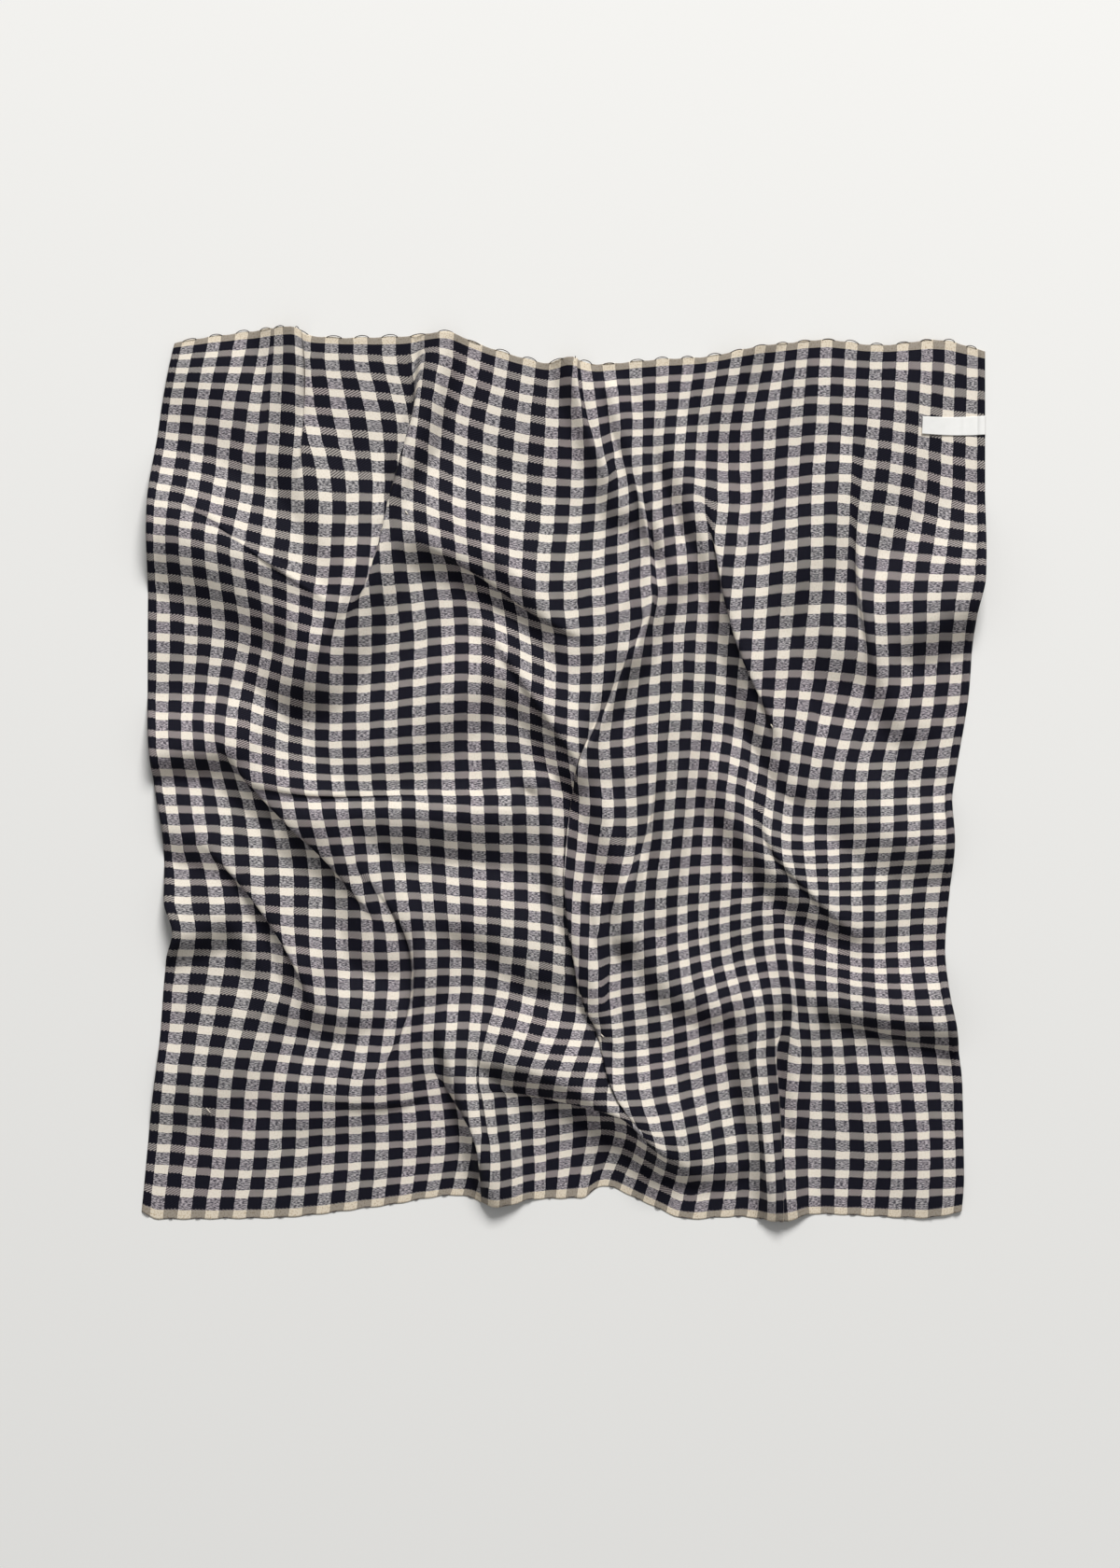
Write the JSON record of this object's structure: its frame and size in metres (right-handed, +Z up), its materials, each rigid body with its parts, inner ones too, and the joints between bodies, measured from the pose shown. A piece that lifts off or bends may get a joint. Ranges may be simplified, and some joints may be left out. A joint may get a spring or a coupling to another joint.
{
  "type": "laid silk scarf",
  "caption": "Square silk scarf in a small dark and light check, laid open and rumpled, with rolled side hems, woven end bands and a blank woven tab near a corner.",
  "frame": {"origin": "middle of the scarf's footprint, on the surface it lies on", "axes": "+Z up from the surface; +Y along the warp stripes towards the top edge; +X across them towards the side edge with the tab"},
  "size_m": [0.6328, 0.6686, 0.0315],
  "materials": {
    "silk_check": "soft matte silk twill in a cream and navy check",
    "white_tape": "matte woven tape"
  },
  "bodies": {
    "root": {"scarf_cloth": "silk_check", "label_tab": "white_tape"}
  },
  "joints": []
}
